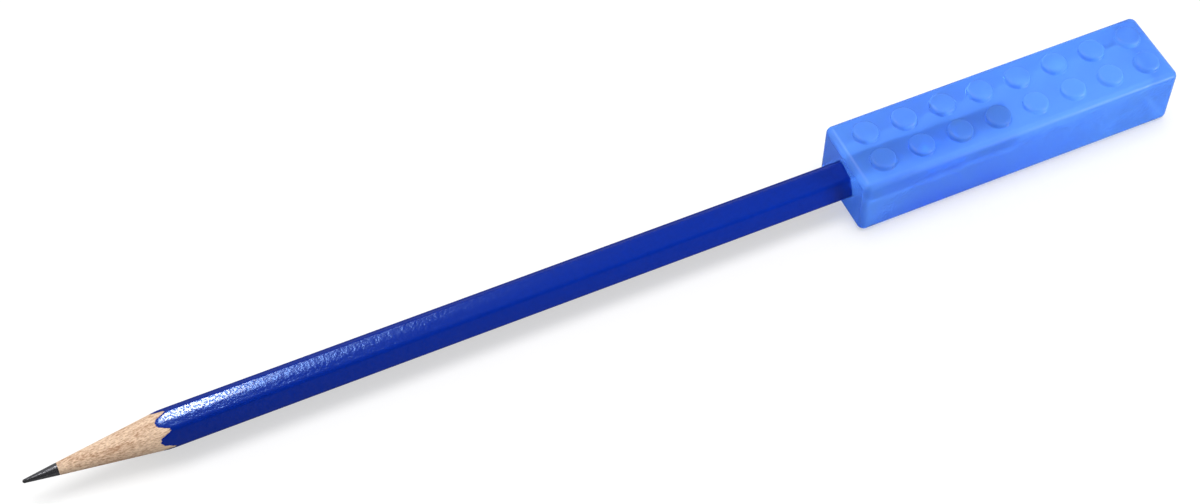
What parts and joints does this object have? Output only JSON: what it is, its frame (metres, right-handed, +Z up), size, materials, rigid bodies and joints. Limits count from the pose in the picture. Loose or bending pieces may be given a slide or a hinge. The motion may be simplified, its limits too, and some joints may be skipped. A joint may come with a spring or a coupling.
{
  "type": "chewable pencil topper",
  "caption": "Soft translucent studded block with a blind socket, pushed over the eraser end of a sharpened hexagonal pencil so that it can be chewed.",
  "frame": {"origin": "centre of the topper's flat base, on the surface that the part lies on", "axes": "+X along the pencil towards the topper's closed end, so the pencil's point is at -X; +Y across the topper; +Z up, out of the studded top face"},
  "size_m": [0.2231, 0.0164, 0.0142],
  "materials": {
    "blue_elastomer": "satin translucent blue elastomer",
    "blue_lacquer": "glossy deep blue pencil lacquer",
    "cedar": "bare sharpened cedar",
    "graphite": "dark grey graphite with a dull shine",
    "ferrule_metal": "thin bare aluminium, beaded",
    "eraser_pink": "matte pink eraser"
  },
  "bodies": {
    "topper": {"topper_body": "blue_elastomer"},
    "pencil": {"lacquer_coat": "blue_lacquer", "casing_slat_upper": "cedar", "casing_slat_lower": "cedar", "graphite_core": "graphite", "ferrule": "ferrule_metal", "eraser": "eraser_pink"}
  },
  "joints": [
    {"name": "pencil_pull", "type": "slide", "parent": "topper", "child": "pencil", "axis": [-1, 0, 0], "range_m": [0, 0.042]}
  ]
}
